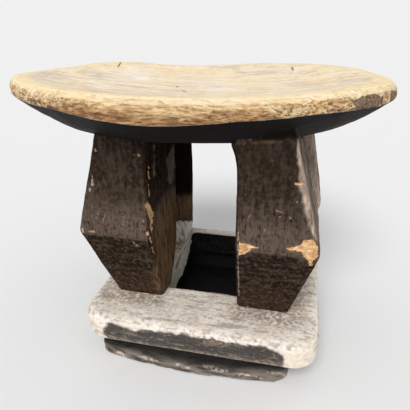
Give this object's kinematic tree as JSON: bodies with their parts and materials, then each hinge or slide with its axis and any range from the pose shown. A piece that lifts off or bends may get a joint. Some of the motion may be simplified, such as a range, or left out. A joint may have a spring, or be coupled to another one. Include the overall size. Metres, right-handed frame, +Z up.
{
  "type": "carved wooden stool",
  "caption": "Low stool carved from one block: oval dished saddle seat on four kneed square legs, on a rounded rectangular base with a well and a bowed foot.",
  "frame": {"origin": "on the floor under the middle of the seat", "axes": "+Z up, +X along the seat's long axis, the pictured front faces -Y"},
  "size_m": [0.34, 0.214, 0.2517],
  "materials": {
    "seat_wood": "worn, hand polished, unvarnished",
    "leg_wood": "dark handling patina over tool marks",
    "slab_wood": "worn, dusty, dark patina left in patches",
    "foot_wood": "worn, grey-brown"
  },
  "bodies": {
    "root": {"seat": "seat_wood", "leg_front_left": "leg_wood", "leg_front_right": "leg_wood", "leg_back_left": "leg_wood", "leg_back_right": "leg_wood", "base_slab": "slab_wood", "base_foot": "foot_wood"}
  },
  "joints": []
}
